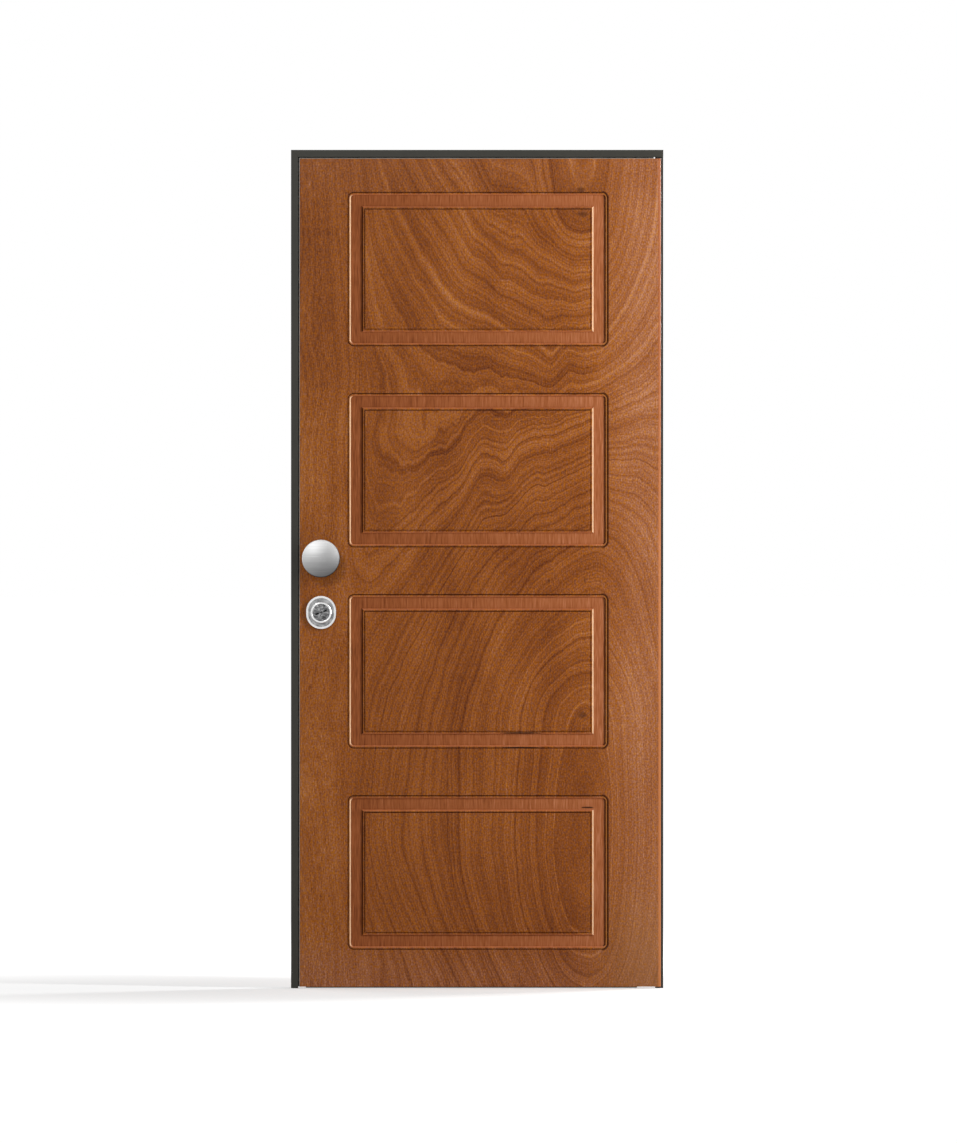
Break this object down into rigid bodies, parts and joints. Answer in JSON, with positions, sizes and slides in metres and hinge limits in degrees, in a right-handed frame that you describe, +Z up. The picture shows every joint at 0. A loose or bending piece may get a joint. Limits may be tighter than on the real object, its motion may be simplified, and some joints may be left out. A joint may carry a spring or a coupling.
{
  "type": "panelled security door set",
  "caption": "Inward-opening panelled wooden-faced security door in a folded steel frame, with a fixed round knob, a cylinder guard plate, a bolt lock and an inside lever handle.",
  "frame": {"origin": "middle of the door set's bounding box, at the floor", "axes": "+X to the right seen from outside, +Y into the building, +Z up; the outside face looks along -Y"},
  "size_m": [0.94, 0.1836, 2.117],
  "materials": {
    "frame_paint": "dark olive grey, semi-matt",
    "trim_paint": "dark grey, semi-matt",
    "hinge_steel": "dark grey, semi-matt",
    "zinc_steel": "zinc plated",
    "bolt_steel": "ground steel",
    "rubber_seal": "matt black",
    "outer_wood": "reddish brown plywood, satin varnish",
    "inner_wood": "reddish brown veneer, satin varnish",
    "core_fill": "mineral wool",
    "guide_plastic": "matt black",
    "bearing_brass": "plain",
    "satin_knob": "satin, fine brushed",
    "bright_chrome": "polished rim, brushed face",
    "dark_guard": "dark hardened steel",
    "cylinder_brass": "plain",
    "satin_handle": "satin, fine brushed"
  },
  "bodies": {
    "frame": {"lock_jamb": "frame_paint", "hinge_jamb": "frame_paint", "frame_head": "frame_paint", "main_strike_plate": "zinc_steel", "upper_strike_plate": "zinc_steel", "lower_strike_plate": "zinc_steel", "strike_screws": "zinc_steel", "lock_jamb_seal": "rubber_seal", "head_seal": "rubber_seal", "hinge_jamb_seal": "rubber_seal", "upper_hinge_bracket": "hinge_steel", "lower_hinge_bracket": "hinge_steel", "upper_hinge_pin": "zinc_steel", "lower_hinge_pin": "zinc_steel", "hinge_washers": "bearing_brass", "bracket_screws": "zinc_steel"},
    "leaf": {"hinge_caps": "frame_paint", "lock_edge_trim": "trim_paint", "hinge_edge_trim": "trim_paint", "top_edge_trim": "trim_paint", "bottom_edge_trim": "trim_paint", "upper_hinge_leaf": "hinge_steel", "lower_hinge_leaf": "hinge_steel", "hinge_leaf_screws": "zinc_steel", "steel_skin": "zinc_steel", "stiffeners": "zinc_steel", "lock_case": "zinc_steel", "lock_cover": "zinc_steel", "upper_bolt_case": "zinc_steel", "lower_bolt_case": "zinc_steel", "knob_stud": "zinc_steel", "knob_nut": "zinc_steel", "escutcheon_screws": "zinc_steel", "dog_bolts": "bolt_steel", "bottom_seal": "rubber_seal", "outer_panel": "outer_wood", "inner_panel": "inner_wood", "insulation": "core_fill", "rod_guides": "guide_plastic", "knob": "satin_knob", "knob_rose": "satin_knob", "escutcheon_plate": "bright_chrome", "escutcheon_collar": "bright_chrome", "escutcheon_core": "dark_guard", "cylinder_body": "cylinder_brass", "handle_rose": "satin_handle", "inner_escutcheon": "satin_handle"},
    "main_bolts": {"main_bolts": "bolt_steel", "bolt_yoke": "zinc_steel"},
    "upper_bolts": {"upper_bolts": "bolt_steel"},
    "lower_bolts": {"lower_bolts": "bolt_steel"},
    "upper_rod": {"upper_rod": "zinc_steel"},
    "lower_rod": {"lower_rod": "zinc_steel"},
    "latch": {"latch_bolt": "bolt_steel"},
    "handle": {"lever_handle": "satin_handle", "handle_spindle": "zinc_steel", "latch_follower": "zinc_steel"},
    "key_rotor": {"guard_disc": "dark_guard", "cylinder_plug": "cylinder_brass", "thumb_turn": "satin_handle"}
  },
  "joints": [
    {"name": "leaf_swing", "type": "hinge", "parent": "frame", "child": "leaf", "pos_m": [0.447, 0.04875, 0], "axis": [0, 0, -1], "range_deg": [0, 105]},
    {"name": "bolt_throw", "type": "slide", "parent": "leaf", "child": "main_bolts", "axis": [-1, 0, 0], "range_m": [0, 0.028]},
    {"name": "upper_bolt_throw", "type": "slide", "parent": "leaf", "child": "upper_bolts", "axis": [-1, 0, 0], "range_m": [0, 0.028]},
    {"name": "lower_bolt_throw", "type": "slide", "parent": "leaf", "child": "lower_bolts", "axis": [-1, 0, 0], "range_m": [0, 0.028]},
    {"name": "upper_rod_slide", "type": "slide", "parent": "leaf", "child": "upper_rod", "axis": [0, 0, 1], "range_m": [0, 0.02]},
    {"name": "lower_rod_slide", "type": "slide", "parent": "leaf", "child": "lower_rod", "axis": [0, 0, -1], "range_m": [0, 0.02]},
    {"name": "key_turn", "type": "hinge", "parent": "leaf", "child": "key_rotor", "pos_m": [-0.394, 0, 0.949], "axis": [0, -1, 0], "range_deg": [0, 720]},
    {"name": "handle_turn", "type": "hinge", "parent": "leaf", "child": "handle", "pos_m": [-0.394, 0, 1.085], "axis": [0, 1, 0], "range_deg": [0, 40], "stiffness_Nm_per_rad": 1.2, "springref_deg": -17.19},
    {"name": "latch_slide", "type": "slide", "parent": "leaf", "child": "latch", "axis": [1, 0, 0], "range_m": [0, 0.0105]}
  ],
  "couplings": [
    {"joint": "upper_bolt_throw", "follows": "bolt_throw", "ratio": 1},
    {"joint": "lower_bolt_throw", "follows": "bolt_throw", "ratio": 1},
    {"joint": "upper_rod_slide", "follows": "bolt_throw", "ratio": 0.714},
    {"joint": "lower_rod_slide", "follows": "bolt_throw", "ratio": 0.714},
    {"joint": "key_turn", "follows": "bolt_throw", "rad_per_m": 448.7},
    {"joint": "latch_slide", "follows": "handle_turn", "m_per_rad": 0.015}
  ]
}
